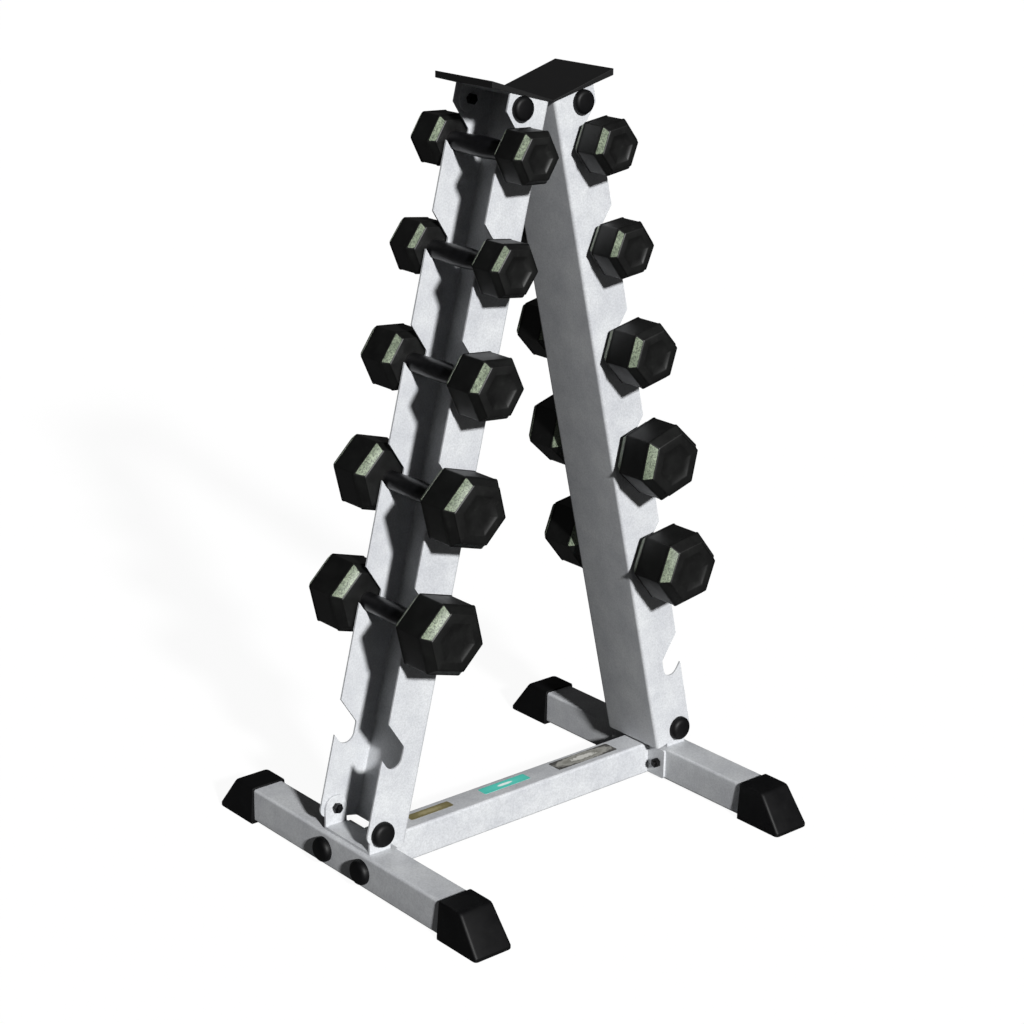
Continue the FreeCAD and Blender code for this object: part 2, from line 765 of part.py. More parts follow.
def make_dumbbell(side, number, level, notch):
    """A dumbbell of three nodes, resting in one of the leg's cradles."""
    stem = f"{side}_dumbbell_{number}"
    rest = (
        FOOT_POINT[side], LEG_STEP, ("seat_depth", "0", f"notch_{notch}", "0; 1; 0", "leg_lean"),
        ("0", "0", "handle_gap - seat_play"),
        ("0", "0", "0", "0; 0; 1", HALF_TURN[side]),
        ("0", "0", "0", "0; 1; 0", f"roll_{side}_{level}"),
    )
    head_length = f"head_{level}_length"
    core = combine("Part::Cut", f"{stem}_core", [
        core_blank(f"{stem}_core_blank", level), tenon(f"{stem}_core_bore", head_length)])
    cavity = combine("Part::MultiFuse", f"{stem}_cavity", [
        core_blank(f"{stem}_cavity_blank", level), tenon(f"{stem}_cavity_bore", "2 * jacket_wall")])
    jacket = combine("Part::Cut", f"{stem}_jacket", [
        bevelled_hexagon(f"{stem}_head", level), cavity])
    keep(f"{stem}_handle", make_handle(f"{stem}_handle_body", level), *rest)
    keep(f"{stem}_iron_cores", both_ends(f"{stem}_core", core), *rest)
    keep(f"{stem}_rubber_heads", both_ends(f"{stem}_jacket", jacket), *rest)


# ---------------------------------------------------------------------------------------------
# The assembly
# ---------------------------------------------------------------------------------------------
def make_rack():
    for side in ("left", "right"):
        make_leg(side)
        make_foot_tube(side)
        make_foot_bracket(side)
        make_top_bracket(side)
        make_fasteners(side)
        for end in ("front", "rear"):
            make_boot(side, end)
    make_crossbar()
    make_tray()
    for side in ("left", "right"):
        cradles = ("six", "five", "four", "three", "two")
        for number, (level, notch) in enumerate(zip(LEVELS, cradles), start=1):
            make_dumbbell(side, number, level, notch)


def check_and_write():
    """Stops on any failed object or bad solid, then writes one STEP file per node."""
    doc.recompute()
    failed = [item.Name for item in doc.Objects if {"Invalid", "Error"} & set(item.State)]
    if failed:
        raise RuntimeError("failed objects: " + ", ".join(failed))
    for name, item in nodes.items():
        shape = item.Shape
        if shape.isNull() or not shape.isValid() or not shape.Solids:
            raise RuntimeError(f"bad solid in {name}")
    os.makedirs("parts", exist_ok=True)
    for name, item in nodes.items():
        item.Shape.exportStep(f"parts/{name}.step")
    print(len(nodes), "nodes written")


make_rack()
check_and_write()
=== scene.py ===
# %% [markdown]
# # A rack of hex dumbbells, piece by piece
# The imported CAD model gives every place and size. This lesson builds the looks around it: rubber
# heads with eased edges, turned handles, folded and powder-coated steel, moulded boots and caps.
# Everything is in metres, with +Z up, the front at -Y, and the floor at Z = 0.

# %% Load the frame
import math

import bmesh
import bpy
import numpy as np
from mathutils import Matrix, Vector


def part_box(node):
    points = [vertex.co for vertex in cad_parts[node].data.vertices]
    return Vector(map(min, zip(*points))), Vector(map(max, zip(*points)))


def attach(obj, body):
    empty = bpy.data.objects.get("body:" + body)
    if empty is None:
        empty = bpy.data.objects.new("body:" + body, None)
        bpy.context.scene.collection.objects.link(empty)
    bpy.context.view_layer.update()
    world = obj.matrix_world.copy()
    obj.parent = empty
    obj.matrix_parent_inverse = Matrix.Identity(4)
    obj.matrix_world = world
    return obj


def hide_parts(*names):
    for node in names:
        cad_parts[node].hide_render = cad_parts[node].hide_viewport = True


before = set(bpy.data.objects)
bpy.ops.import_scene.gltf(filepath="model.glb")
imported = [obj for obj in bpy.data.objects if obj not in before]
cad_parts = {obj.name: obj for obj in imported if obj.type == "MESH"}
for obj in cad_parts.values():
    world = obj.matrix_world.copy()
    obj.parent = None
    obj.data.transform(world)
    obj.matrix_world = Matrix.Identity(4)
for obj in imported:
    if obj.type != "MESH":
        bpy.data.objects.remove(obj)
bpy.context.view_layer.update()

MM = 0.001
SIDES = ("left", "right")
LEVELS = (1, 2, 3, 4, 5)

# %% [markdown]
# ## Colours and nodes
# A finish is a small graph of shader nodes. Two helpers keep the graphs short: one turns a hex
# colour as seen on a screen into Blender's linear light, and one adds any node with its settings
# and its links in a single call.

# %% Colour and node helpers
def linear(hex_colour):
    """An sRGB hex colour as linear RGBA: v/12.92 near black, ((v + 0.055)/1.055)^2.4 above."""
    value = np.array([int(hex_colour[i:i + 2], 16) / 255 for i in (1, 3, 5)])
    low, high = value / 12.92, ((value + 0.055) / 1.055) ** 2.4
    return (*np.where(value <= 0.04045, low, high).tolist(), 1.0)


def add_node(material, kind, settings=None, **inputs):
    """Adds a node: settings are its properties, inputs its sockets (a value, or a socket to link).

    An underscore in an input's name stands for a space, and a trailing number for its index.
    """
    tree = material.node_tree
    node = tree.nodes.new(kind)
    for name, value in (settings or {}).items():
        setattr(node, name, value)
    for name, value in inputs.items():
        key = int(name[1:]) if name[0] == "i" and name[1:].isdigit() else name.replace("_", " ")
        if isinstance(value, bpy.types.NodeSocket):
            tree.links.new(value, node.inputs[key])
        else:
            node.inputs[key].default_value = value
    return node


def new_material(name):
    """An empty node material with its output, and the object's own coordinates in metres."""
    material = bpy.data.materials.new(name)
    material.use_nodes = True
    material.node_tree.nodes.clear()
    output = add_node(material, "ShaderNodeOutputMaterial")
    place = add_node(material, "ShaderNodeTexCoord").outputs["Object"]
    return material, output, place


def ramp(material, factor, stops):
    """A colour ramp: stops are (position, linear colour)."""
    node = add_node(material, "ShaderNodeValToRGB", i0=factor)
    elements = node.color_ramp.elements
    while len(elements) < len(stops):
        elements.new(0.5)
    for element, (position, colour) in zip(elements, stops):
        element.position = position
        element.color = colour
    return node.outputs["Color"]


def grey(level):
    return (level, level, level, 1.0)


def finish_surface(material, output, **inputs):
    shader = add_node(material, "ShaderNodeBsdfPrincipled", **inputs)
    material.node_tree.links.new(shader.outputs["BSDF"], output.inputs["Surface"])
    return shader


# %% [markdown]
# ## Powder coat
# The frame is bent sheet and tube, sprayed with polyester powder and baked. The powder melts into
# a skin with a fine orange peel, and the silver flake in it settles in soft, uneven clouds. Two
# noises give the clouds and the flake, and a third, about a millimetre across, gives the peel.

# %% Powder coats
def powder_coat(name, light, dark, flake, roughness, peel):
    """Baked polyester powder over steel: cloudy colour, flake specks and an orange-peel bump."""
    material, output, place = new_material(name)
    clouds = add_node(material, "ShaderNodeTexNoise", Vector=place, Scale=1 / (38 * MM),
                      Detail=4.0, Roughness=0.6)
    specks = add_node(material, "ShaderNodeTexNoise", Vector=place, Scale=1 / (2.6 * MM),
                      Detail=3.0, Roughness=0.75)
    base = ramp(material, clouds.outputs["Fac"], ((0.3, linear(dark)), (0.68, linear(light))))
    speckle = ramp(material, specks.outputs["Fac"], ((0.36, grey(1 - flake)), (0.62, grey(1.0))))
    colour = add_node(material, "ShaderNodeMix", {"data_type": "RGBA", "blend_type": "MULTIPLY"},
                      i0=1.0, i6=base, i7=speckle)
    rough = add_node(material, "ShaderNodeMapRange", Value=specks.outputs["Fac"])
    rough.inputs["To Min"].default_value = roughness - 0.07
    rough.inputs["To Max"].default_value = roughness + 0.08
    orange = add_node(material, "ShaderNodeTexNoise", Vector=place, Scale=1 / (1.1 * MM),
                      Detail=1.0)
    bump = add_node(material, "ShaderNodeBump", Strength=peel, Distance=0.12 * MM,
                    Height=orange.outputs["Fac"])
    finish_surface(material, output, Base_Color=colour.outputs[2],
                   Roughness=rough.outputs["Result"], Normal=bump.outputs["Normal"], IOR=1.5,
                   Metallic=0.0, Coat_Weight=0.15, Coat_Roughness=0.3)
    return material


SILVER = powder_coat("silver_powder_coat_on_steel", "#c3c5c7", "#b2b4b8", 0.2, 0.42, 0.35)
BLACK_COAT = powder_coat("black_powder_coat_on_steel", "#09090a", "#050506", 0.35, 0.55, 0.4)
print("powder coats:", SILVER.name, BLACK_COAT.name)

# %% [markdown]
# ## Rubber, plastic and bare steel
# The heads are black rubber cured in a steel mould round an iron core: dense black, a soft broad
# gloss on the edges, a fine matt grain, and a little grey dust where hands and other heads rub.
# The boots and caps are moulded polyethylene, a touch greyer and waxier. Bolts and nuts
# are blackened steel. The handles are black-plated steel. The hidden cores are as-cast iron.

# %% Moulded and turned finishes
def moulded_black(name, dark, light, grain, roughness, shine, scuff):
    """A black moulding: broad tone changes, a fine mould grain, and pale scuffs in patches."""
    material, output, place = new_material(name)
    broad = add_node(material, "ShaderNodeTexNoise", Vector=place, Scale=1 / (24 * MM), Detail=5.0,
                     Roughness=0.62)
    fine = add_node(material, "ShaderNodeTexNoise", Vector=place, Scale=1 / (grain * MM),
                    Detail=2.0, Roughness=0.7)
    base = ramp(material, broad.outputs["Fac"], ((0.35, linear(dark)), (0.7, linear(light))))
    rub = add_node(material, "ShaderNodeTexNoise", Vector=place, Scale=1 / (7 * MM), Detail=6.0,
                   Roughness=0.72, Distortion=0.6)
    patches = ramp(material, rub.outputs["Fac"], ((0.58, grey(0.0)), (0.74, grey(scuff))))
    colour = add_node(material, "ShaderNodeMix", {"data_type": "RGBA"}, i0=patches, i6=base,
                      i7=linear("#5b5d58"))
    rough = add_node(material, "ShaderNodeMapRange", Value=broad.outputs["Fac"])
    rough.inputs["To Min"].default_value = roughness - 0.08
    rough.inputs["To Max"].default_value = roughness + 0.12
    bump = add_node(material, "ShaderNodeBump", Strength=0.35, Distance=0.15 * MM,
                    Height=fine.outputs["Fac"])
    finish_surface(material, output, Base_Color=colour.outputs[2],
                   Roughness=rough.outputs["Result"], Normal=bump.outputs["Normal"], IOR=1.5,
                   Metallic=0.0, Specular_IOR_Level=shine)
    return material


def plain_metal(name, dark, light, roughness, grain, metallic=1.0):
    """Plated or cast metal: slightly patchy colour and a roughness that follows the patches."""
    material, output, place = new_material(name)
    noise = add_node(material, "ShaderNodeTexNoise", Vector=place, Scale=1 / (grain * MM),
                     Detail=5.0, Roughness=0.6)
    colour = ramp(material, noise.outputs["Fac"], ((0.3, linear(dark)), (0.7, linear(light))))
    rough = add_node(material, "ShaderNodeMapRange", Value=noise.outputs["Fac"])
    rough.inputs["To Min"].default_value = roughness - 0.06
    rough.inputs["To Max"].default_value = roughness + 0.1
    bump = add_node(material, "ShaderNodeBump", Strength=0.25, Distance=0.08 * MM,
                    Height=noise.outputs["Fac"])
    finish_surface(material, output, Base_Color=colour, Roughness=rough.outputs["Result"],
                   Normal=bump.outputs["Normal"], Metallic=metallic)
    return material


RUBBER = moulded_black("mould_cured_black_rubber", "#040404", "#0a0b0a", 0.7, 0.46, 0.42, 0.08)
PLASTIC = moulded_black("moulded_black_polyethylene", "#030304", "#070708", 0.5, 0.5, 0.2, 0.02)
BLACK_STEEL = plain_metal("black_plated_turned_steel", "#0b0b0c", "#17171a", 0.32, 9, 0.4)
BLACK_OXIDE = plain_metal("black_oxide_steel", "#0e0e0f", "#1c1c1e", 0.4, 4, 0.6)
CAST_IRON = plain_metal("as_cast_iron", "#2c2a28", "#45423e", 0.72, 2)
print("moulded and metal finishes:", RUBBER.name, PLASTIC.name, BLACK_STEEL.name)

# %% [markdown]
# ## Painted highlight panels
# On each head, the -X facet of both bevels carries a thin pale grey-green panel with no lettering. It
# is a
# painted highlight: it stands in for the lamp's reflection on that facet, speckled with dark specks.

# %% Painted highlight panel finish
def painted_highlight_rubber():
    """Painted highlight: pale grey-green, broken by dark specks about two millimetres across."""
    material, output, place = new_material("grey_green_painted_highlight")
    specks = add_node(material, "ShaderNodeTexNoise", Vector=place, Scale=1 / (2.4 * MM),
                      Detail=6.0, Roughness=0.8)
    wear = add_node(material, "ShaderNodeTexNoise", Vector=place, Scale=1 / (14 * MM), Detail=3.0)
    pale = ramp(material, wear.outputs["Fac"],
                ((0.35, linear("#6f7a67")), (0.65, linear("#8a957f"))))
    mask = ramp(material, specks.outputs["Fac"], ((0.40, grey(1.0)), (0.56, grey(0.0))))
    colour = add_node(material, "ShaderNodeMix", {"data_type": "RGBA"}, i0=mask, i6=pale,
                      i7=linear("#3b4237"))
    bump = add_node(material, "ShaderNodeBump", Strength=0.4, Distance=0.15 * MM,
                    Height=specks.outputs["Fac"])
    finish_surface(material, output, Base_Color=colour.outputs[2], Roughness=0.5,
                   Normal=bump.outputs["Normal"], IOR=1.5)
    return material


# Pale paint that stands in for the lamp's highlight on the bevel facets.
HIGHLIGHT_PAINT = painted_highlight_rubber()
print("label finish:", HIGHLIGHT_PAINT.name)

# %% [markdown]
# ## Meshes from arrays
# A turned, lofted or moulded piece is a stack of closed rings: ring k is an outline in a plane, and
# neighbouring rings are joined by quads. All points are worked out at once as an array of shape
# (rings, points, 3). An outline with rounded corners is sampled with the same number of points
# each time, so that any two outlines can be joined.

# %% Rings and skins
CORNER_STEPS = 5


def rounded_outline(corners, radius, steps=CORNER_STEPS):
    """A closed convex outline with each corner replaced by an arc of the given radius.

    At a corner with half-angle h between its sides, the arc's centre lies radius / sin(h) along the
    bisector, and its points are the centre plus the radius times directions swept from the one
    side's normal to the other's.
    """
    corners = np.asarray(corners, float)
    back = np.roll(corners, 1, 0) - corners
    ahead = np.roll(corners, -1, 0) - corners
    back /= np.linalg.norm(back, axis=1, keepdims=True)
    ahead /= np.linalg.norm(ahead, axis=1, keepdims=True)
    bisector = back + ahead
    bisector /= np.linalg.norm(bisector, axis=1, keepdims=True)
    sine = np.abs(bisector[:, 0] * ahead[:, 1] - bisector[:, 1] * ahead[:, 0])
    radius = np.broadcast_to(np.asarray(radius, float), sine.shape)
    centre = corners + bisector * (radius / sine)[:, None]
    spread = np.pi / 2 - np.arcsin(np.clip(sine, 0, 1))
    outward = np.arctan2(-bisector[:, 1], -bisector[:, 0])
    sweep = np.linspace(-1, 1, steps)[None, :]
    angle = outward[:, None] + spread[:, None] * sweep
    spokes = np.stack([np.cos(angle), np.sin(angle)], -1)
    points = centre[:, None, :] + radius[:, None, None] * spokes
    return points.reshape(-1, 2)


def rounded_profile(points, radii, steps=4):
    """An open profile whose inner corners are arcs, worked out as for a closed outline."""
    points = np.asarray(points, float)
    inner = points[1:-1]
    back = points[:-2] - inner
    ahead = points[2:] - inner
    back /= np.linalg.norm(back, axis=1, keepdims=True)
    ahead /= np.linalg.norm(ahead, axis=1, keepdims=True)
    bisector = back + ahead
    bisector /= np.linalg.norm(bisector, axis=1, keepdims=True)
    sine = np.abs(bisector[:, 0] * ahead[:, 1] - bisector[:, 1] * ahead[:, 0])
    turn = np.sign(bisector[:, 0] * ahead[:, 1] - bisector[:, 1] * ahead[:, 0])
    radii = np.broadcast_to(np.asarray(radii, float), sine.shape)
    centre = inner + bisector * (radii / sine)[:, None]
    spread = np.pi / 2 - np.arcsin(np.clip(sine, 0, 1))
    outward = np.arctan2(-bisector[:, 1], -bisector[:, 0])
    sweep = np.linspace(-1, 1, steps)[None, :] * turn[:, None]
    angle = outward[:, None] + spread[:, None] * sweep
    arcs = centre[:, None, :] + radii[:, None, None] * np.stack([np.cos(angle), np.sin(angle)], -1)
    return np.concatenate([points[:1], arcs.reshape(-1, 2), points[-1:]])


def skin_faces(rings, count, capped=True, offset=0):
    """Quads between neighbouring closed rings, and one face over each end."""
    row = np.arange(rings - 1)[:, None] * count
    column = np.arange(count)[None, :]
    after = (column + 1) % count
    quads = np.stack([row + column, row + after, row + count + after, row + count + column], -1)
    faces = (quads.reshape(-1, 4) + offset).tolist()
    if capped:
        faces.append((np.arange(count)[::-1] + offset).tolist())
        faces.append((np.arange(count) + (rings - 1) * count + offset).tolist())
    return faces


def make_piece(name, points, faces, material, body, stands_for=(), smooth_angle=35):
    """Puts points and faces into a mesh at the origin, with its finish and body."""
    mesh = bpy.data.meshes.new(name)
    mesh.from_pydata(np.asarray(points, float).reshape(-1, 3).tolist(), [], faces)
    mesh.validate()
    work = bmesh.new()
    work.from_mesh(mesh)
    bmesh.ops.recalc_face_normals(work, faces=work.faces)
    work.to_mesh(mesh)
    work.free()
    mesh.shade_smooth()
    mesh.set_sharp_from_angle(angle=math.radians(smooth_angle))
    piece = bpy.data.objects.new(name, mesh)
    bpy.context.scene.collection.objects.link(piece)
    mesh.materials.append(material)
    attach(piece, body)
    if stands_for:
        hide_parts(*stands_for)
    return piece


# %% [markdown]
# ## Rubber heads
# A head is a hexagonal bar with both rims bevelled. The mould leaves every edge rounded by two or
# three millimetres, and those rounded edges are what catch the light on black rubber, so they are
# in the mesh. The profile along the handle gives each ring's inset from the full hexagon, and the
# face carries a shallow round recess. Rings then run to the centre.

# %% Build the heads
HEAD_SIZES = {1: (68, 55, 10, 7), 2: (71, 55, 10, 6.5), 3: (81, 67, 12, 7.5), 4: (95, 73, 14, 9),
              5: (97, 77, 14, 10)}
ROLLS = {"left": (32, 36.5, 34.5, 45.5, 46), "right": (21, 23, 17.5, 12.5, 21)}
GRIP_HALF = 58.5
EDGE_ROUND = 3.0
SEAT_RING = 14.0
HEXAGON = np.radians(np.arange(6) * 60 + 30)


def hexagon_ring(flats, radius):
    """A rounded hexagon of the given width across flats, with a flat facing -X."""
    corners = np.stack([np.cos(HEXAGON), np.sin(HEXAGON)], -1) * flats / math.sqrt(3)
    return rounded_outline(corners, radius)


def head_rings(flats, length, along, inset):
    """Rings of one rear head before it is rolled: X and Z across, Y along the handle, in mm."""
    rim = 2.2
    profile = rounded_profile(
        [(0, inset + 4), (0, inset), (along, 0), (length - along, 0), (length, inset),
         (length, inset + 4)],
        [rim, rim * 2, rim * 2, rim])
    radius = np.clip(EDGE_ROUND - profile[:, 1] * 0.12, 1.5, None)
    rings = [np.insert(hexagon_ring(flats - 2 * depth, r), 1, along_handle, axis=1)
             for (along_handle, depth), r in zip(profile, radius)]
    angle = np.arctan2(rings[0][:, 2], rings[0][:, 0])
    circle = np.stack([np.cos(angle), np.zeros_like(angle), np.sin(angle)], -1)
    face = flats / 2 - inset

    def disc(radius_now, depth_now):
        return circle * radius_now + np.array([0, depth_now, 0])

    inner = [disc(SEAT_RING, 0.0), disc(face * 0.72, 0.0)]
    outer = [disc(face * 0.80, length), disc(face * 0.77, length), disc(face * 0.74, length - 0.9),
             disc(face * 0.4, length - 0.9), disc(0.6, length - 0.9)]
    return np.array(inner + rings + outer) + np.array([0, GRIP_HALF, 0])


def rolled(points, degrees, axis_x, axis_z):
    """Points in mm turned about the handle by the roll, moved to the handle's axis, in metres.

    A positive turn about +Y takes -X towards +Z: x' = x cos a + z sin a, z' = z cos a - x sin a.
    """
    a = math.radians(degrees)
    x, y, z = np.moveaxis(np.asarray(points, float), -1, 0)
    turned = np.stack([x * math.cos(a) + z * math.sin(a), y, z * math.cos(a) - x * math.sin(a)], -1)
    return turned * MM + np.array([axis_x, 0, axis_z])


def handle_axis(side, level):
    """The X and Z of a dumbbell's handle, read from its CAD node's box."""
    low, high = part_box(f"{side}_dumbbell_{level}_handle")
    return (low[0] + high[0]) / 2, (low[2] + high[2]) / 2


def build_heads(side, level):
    name = f"{side}_dumbbell_{level}"
    rear = head_rings(*HEAD_SIZES[level])
    front = rear * np.array([1, -1, 1])
    axis = handle_axis(side, level)
    roll = ROLLS[side][level - 1]
    points = np.concatenate([rolled(head, roll, *axis).reshape(-1, 3) for head in (front, rear)])
    rings, count = rear.shape[:2]
    faces = skin_faces(rings, count) + skin_faces(rings, count, offset=rings * count)
    return make_piece(f"{name}_heads", points, faces, RUBBER, name,
                      [f"{name}_rubber_heads"], smooth_angle=50)


for side in SIDES:
    for level in LEVELS:
        build_heads(side, level)
print("heads built:", 2 * len(LEVELS), "pairs")

# %% [markdown]
# ## Painted highlight panels
# Each panel is a painted highlight on a bevel facet. The facet is a flat trapezoid between two
# hexagons of different size, so the panel is found by blending between its four corners, and is
# raised a little along the facet's normal. Each panel is a closed slab with eased edges.

# %% Build the painted highlight panels
def facet_highlight_panel(flats, length, along, inset, inner, margin=1.6, proud=0.35):
    """A raised trapezoid slab, the painted highlight, on the -X facet of one bevel of a rear head, in
    mm.
    """
    wide = (flats / math.sqrt(3)) / 2
    narrow = ((flats - 2 * inset) / math.sqrt(3)) / 2
    near_y, far_y = (along, 0.0) if inner else (length - along, length)
    corners = np.array([
        [-flats / 2, near_y, -wide], [-flats / 2, near_y, wide],
        [-flats / 2 + inset, far_y, narrow], [-flats / 2 + inset, far_y, -narrow]], float)
    corners[:, 1] += GRIP_HALF
    centre = corners.mean(0)
    across = corners[1] - corners[0]
    across /= np.linalg.norm(across)
    slope = corners[3] - corners[0]
    slope -= across * (slope @ across)
    slope /= np.linalg.norm(slope)
    normal = np.cross(across, slope)
    normal *= -np.sign(normal[0])
    flat = np.stack([(corners - centre) @ across, (corners - centre) @ slope], -1)
    scale = 1 - margin / np.abs(flat).max(0)
    outlines = [rounded_outline(flat * (scale - shrink), 1.4) for shrink in (0.0, 0.0, 0.015)]
    heights = (-0.4, proud * 0.6, proud)
    rings = [centre + np.outer(o[:, 0], across) + np.outer(o[:, 1], slope) + normal * h
             for o, h in zip(outlines, heights)]
    return np.array(rings)


# A dumbbell's panels paint the lamp's highlight on the -X bevel facets of both heads.
def build_highlight_panels(side, level):
    name = f"{side}_dumbbell_{level}"
    axis = handle_axis(side, level)
    roll = ROLLS[side][level - 1]
    points, faces = [], []
    offset = 0
    for inner in (False, True):
        rear = facet_highlight_panel(*HEAD_SIZES[level], inner)
        for panel in (rear, rear * np.array([1, -1, 1])):
            rings, count = panel.shape[:2]
            points.append(rolled(panel, roll, *axis).reshape(-1, 3))
            faces += skin_faces(rings, count, offset=offset)
            offset += rings * count
    return make_piece(f"{name}_painted_highlight_panels", np.concatenate(points), faces, HIGHLIGHT_PAINT, name,
                      smooth_angle=30)


# Builds the painted highlight panels on every head.
for side in SIDES:
    for level in LEVELS:
        build_highlight_panels(side, level)
print("label panels built")

# %% [markdown]
# ## Handles
# A handle is turned from bar: straight where it enters the heads, and swelling a little to the
# middle so that it fills the hand. It is a surface of revolution, so each ring is a circle whose
# radius follows the turner's profile.

# %% Build the handles
HANDLE_END, HANDLE_MIDDLE, HANDLE_NECK = 13.0, 14.5, 16.0
HANDLE_SIDES = 48


def handle_radius(y):
    """Radius in mm: straight for 16 mm beside each head, then a smooth swell (1 + cos)/2."""
    reach = GRIP_HALF - HANDLE_NECK
    swell = np.where(np.abs(y) < reach, (1 + np.cos(np.pi * y / reach)) / 2, 0.0)
    return HANDLE_END + (HANDLE_MIDDLE - HANDLE_END) * swell


def build_handle(side, level):
    name = f"{side}_dumbbell_{level}"
    y = np.concatenate([[-GRIP_HALF - 3, -GRIP_HALF],
                        np.linspace(-GRIP_HALF + 0.8, GRIP_HALF - 0.8, 41),
                        [GRIP_HALF, GRIP_HALF + 3]])
    radius = handle_radius(y)
    radius[[1, -2]] -= 0.5
    radius[[0, -1]] -= 0.5
    angle = np.linspace(0, 2 * np.pi, HANDLE_SIDES, endpoint=False)
    rings = np.stack([radius[:, None] * np.cos(angle), np.repeat(y[:, None], HANDLE_SIDES, 1),
                      radius[:, None] * np.sin(angle)], -1)
    points = rolled(rings, 0, *handle_axis(side, level))
    return make_piece(f"{name}_turned_handle", points, skin_faces(len(y), HANDLE_SIDES),
                      BLACK_STEEL, name, [f"{name}_handle"])


for side in SIDES:
    for level in LEVELS:
        build_handle(side, level)
print("handles built")

# %% [markdown]
# ## Boots and caps
# Each foot tube ends in a slip-on boot: sloping sides on a flared sole. Each bolt head hides
# under a push-on cap with a domed face. A boot is a stack of rounded rectangles from the sole up; a
# cap is turned about its bolt. The four top caps are drawn a little larger than the CAD's, which
# are cut down so that the top dumbbells clear them on their way out.

# %% Build the boots
def build_boot(side, end):
    node = f"{side}_{end}_foot_boot"
    low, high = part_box(node)
    flip = -1 if end == "front" else 1
    mouth = min(abs(low[1]), abs(high[1])) / MM
    centre_x = (low[0] + high[0]) / 2
    base_half, top_half, sole, top_length, edge, top = 31.0, 28.0, 80.0, 43.0, 6.0, 56.0
    levels = np.array([0.0, 0.5, 1.5, edge, edge + 2, 16, 28, 40, top - 4, top - 1.6, top - 0.45,
                       top])
    share = np.clip((levels - edge) / (top - edge), 0, 1)
    pull = np.array([1.6, 0.7, 0, 0, 0, 0, 0, 0, 0, 0.5, 1.5, 3.2])
    rings = []
    for z, t, p in zip(levels, share, pull):
        half = base_half + (top_half - base_half) * t - p
        length = sole + (top_length - sole) * t - p
        corners = [(-half, 0.0), (half, 0.0), (half, length), (-half, length)]
        ring = rounded_outline(corners, [0.6, 0.6, 5.0, 5.0])
        rings.append(np.insert(ring, 2, z, axis=1))
    points = np.array(rings)
    points[..., 1] = (points[..., 1] + mouth) * flip
    points = points * MM + np.array([centre_x, 0, 0])
    return make_piece(f"{side}_{end}_boot", points, skin_faces(len(levels), points.shape[1]),
                      PLASTIC, "rack", [node], smooth_angle=28)


for side in SIDES:
    for end in ("front", "rear"):
        build_boot(side, end)
print("boots built")

# %% Build the caps
CAP_SIDES = 40


def cap_rings(radius, height, edge, along, centre):
    """A cap turned about its bolt: along is a unit vector pointing out of the clamped face.

    The profile is an upright rim, an arc of radius edge, and a crown that falls by
    0.6 * (distance / (radius - edge)) ** 2 mm from the middle to where the arc starts.
    """
    turn = np.linspace(0, np.pi / 2, 8)
    flat = np.linspace(radius - edge, 0.4, 5)[1:]
    across = np.concatenate([[radius - 0.6, radius], radius - edge + edge * np.cos(turn), flat])
    rise = np.concatenate([[0, 0.6], height - 0.6 - edge + edge * np.sin(turn),
                           height - 0.6 * (flat / (radius - edge)) ** 2])
    along = np.asarray(along, float)
    side_way = np.cross(along, [0, 0, 1.0])
    side_way /= np.linalg.norm(side_way)
    up = np.cross(side_way, along)
    angle = np.linspace(0, 2 * np.pi, CAP_SIDES, endpoint=False)
    spokes = np.outer(np.cos(angle), side_way) + np.outer(np.sin(angle), up)
    rings = across[:, None, None] * spokes[None] + rise[:, None, None] * along
    return rings * MM + np.asarray(centre, float)


def build_caps(name, node, spots):
    """All the caps of one CAD node as one piece: spots are (sizes, outward direction, centre)."""
    points, faces, offset = [], [], 0
    for sizes, along, centre in spots:
        rings = cap_rings(*sizes, along, centre)
        points.append(rings.reshape(-1, 3))
        faces += skin_faces(*rings.shape[:2], offset=offset)
        offset += rings.shape[0] * rings.shape[1]
    return make_piece(name, np.concatenate(points), faces, PLASTIC, "rack", [node],
                      smooth_angle=40)


LOWER_CAP = (18, 12, 8)             # radius, height and edge, as in the CAD
TOP_CAP = (16.5, 10, 6)             # nearer the photo than the CAD's radius of 14
CAD_TOP_RADIUS = 14
for side in SIDES:
    sign = -1 if side == "left" else 1
    low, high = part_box(f"{side}_leg_bolt_caps")
    outer, inner = (low[0], high[0]) if side == "left" else (high[0], low[0])
    lower = (outer - sign * LOWER_CAP[0] * MM, low[2] + LOWER_CAP[0] * MM)
    upper = (inner + sign * CAD_TOP_RADIUS * MM, high[2] - CAD_TOP_RADIUS * MM)
    spots = []
    for sizes, (x, z) in ((LOWER_CAP, lower), (TOP_CAP, upper)):
        spots += [(sizes, (0, -1, 0), (x, low[1] + LOWER_CAP[1] * MM, z)),
                  (sizes, (0, 1, 0), (x, high[1] - LOWER_CAP[1] * MM, z))]
    build_caps(f"{side}_leg_caps", f"{side}_leg_bolt_caps", spots)
    low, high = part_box(f"{side}_crossbar_bolt_caps")
    face_x = low[0] if side == "right" else high[0]
    z = (low[2] + high[2]) / 2
    spots = [(LOWER_CAP, (sign, 0, 0), (face_x, y, z))
             for y in (low[1] + LOWER_CAP[0] * MM, high[1] - LOWER_CAP[0] * MM)]
    build_caps(f"{side}_crossbar_caps", f"{side}_crossbar_bolt_caps", spots)
print("caps built")

# %% [markdown]
# ## Bent sheet and tube
# Powder-coated steel never has a knife edge: shearing and the baked skin leave about half a
# millimetre of rounding, and that thin bright line is what makes sheet metal read as metal. The CAD
# solids already have the right folds, notches and holes, so each is copied, its loose triangles
# are merged back into flat faces, and a narrow bevel is added.

